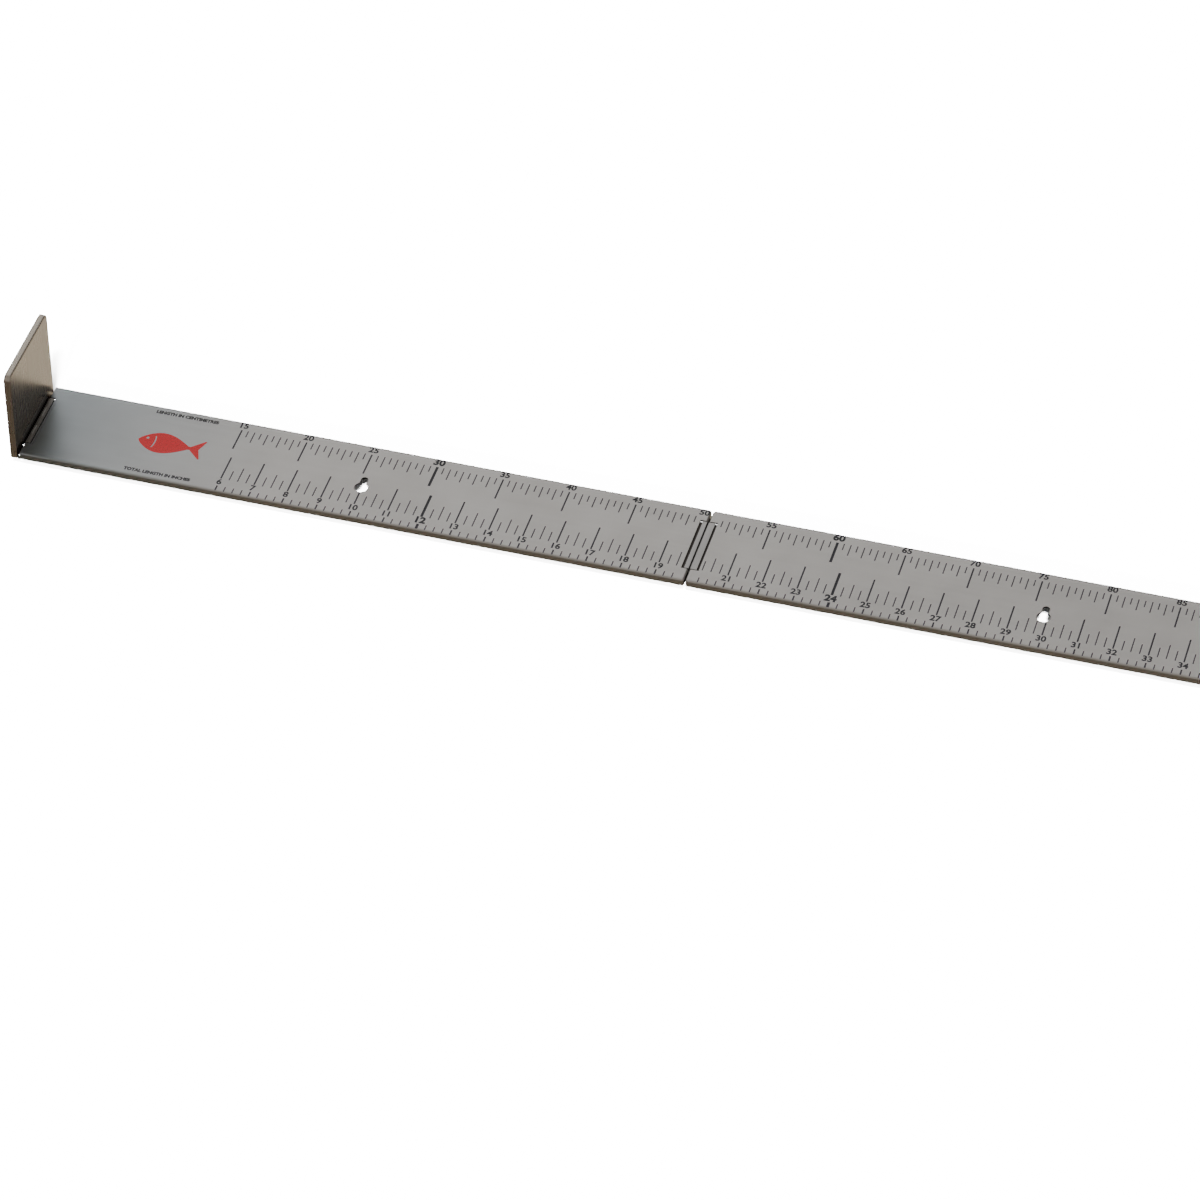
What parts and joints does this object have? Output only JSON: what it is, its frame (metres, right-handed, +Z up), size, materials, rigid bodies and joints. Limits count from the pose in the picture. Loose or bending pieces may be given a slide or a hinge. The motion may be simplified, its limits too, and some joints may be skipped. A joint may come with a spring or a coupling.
{
  "type": "folding steel ruler",
  "caption": "Folding stainless steel measuring ruler with a hinged upright end stop, inch and centimetre scales and hanging keyholes.",
  "frame": {"origin": "middle of the unfolded ruler's box, level with the surface it lies on", "axes": "+X along the scale away from the stop, +Y across from the inch edge to the centimetre edge, +Z up out of the printed face"},
  "size_m": [1.529, 0.078, 0.0782],
  "materials": {
    "brushed_sheet": "long-grain brushed stainless sheet with printed scale",
    "hinge_leaf": "brushed stainless strip",
    "hinge_pin": "drawn stainless wire",
    "weld_stud": "peened stainless"
  },
  "bodies": {
    "section_1": {"section_1_pan": "brushed_sheet", "stop_leaf_section_1": "hinge_leaf", "stop_pin": "hinge_pin", "mid_leaf_section_1": "hinge_leaf", "mid_pin": "hinge_pin", "stop_leaf_section_1_stud_1": "weld_stud", "stop_leaf_section_1_stud_2": "weld_stud", "stop_leaf_section_1_stud_3": "weld_stud", "mid_leaf_section_1_stud_1": "weld_stud", "mid_leaf_section_1_stud_2": "weld_stud", "mid_leaf_section_1_stud_3": "weld_stud"},
    "stop": {"stop_pan": "brushed_sheet", "stop_leaf_upright": "hinge_leaf", "stop_leaf_upright_stud_1": "weld_stud", "stop_leaf_upright_stud_2": "weld_stud", "stop_leaf_upright_stud_3": "weld_stud"},
    "section_2": {"section_2_pan": "brushed_sheet", "mid_leaf_section_2": "hinge_leaf", "end_leaf_section_2": "hinge_leaf", "end_pin": "hinge_pin", "mid_leaf_section_2_stud_1": "weld_stud", "mid_leaf_section_2_stud_2": "weld_stud", "mid_leaf_section_2_stud_3": "weld_stud", "end_leaf_section_2_stud_1": "weld_stud", "end_leaf_section_2_stud_2": "weld_stud", "end_leaf_section_2_stud_3": "weld_stud"},
    "section_3": {"section_3_pan": "brushed_sheet", "end_leaf_section_3": "hinge_leaf", "end_leaf_section_3_stud_1": "weld_stud", "end_leaf_section_3_stud_2": "weld_stud", "end_leaf_section_3_stud_3": "weld_stud"}
  },
  "joints": [
    {"name": "stop_fold", "type": "hinge", "parent": "section_1", "child": "stop", "pos_m": [-0.75675, 0, 0.0054], "axis": [0, 1, 0], "range_deg": [0, 90]},
    {"name": "mid_fold", "type": "hinge", "parent": "section_1", "child": "section_2", "pos_m": [-0.25445, 0, 0.0021], "axis": [0, 1, 0], "range_deg": [0, 180]},
    {"name": "end_fold", "type": "hinge", "parent": "section_2", "child": "section_3", "pos_m": [0.25355, 0, 0.008], "axis": [0, -1, 0], "range_deg": [0, 180]}
  ]
}
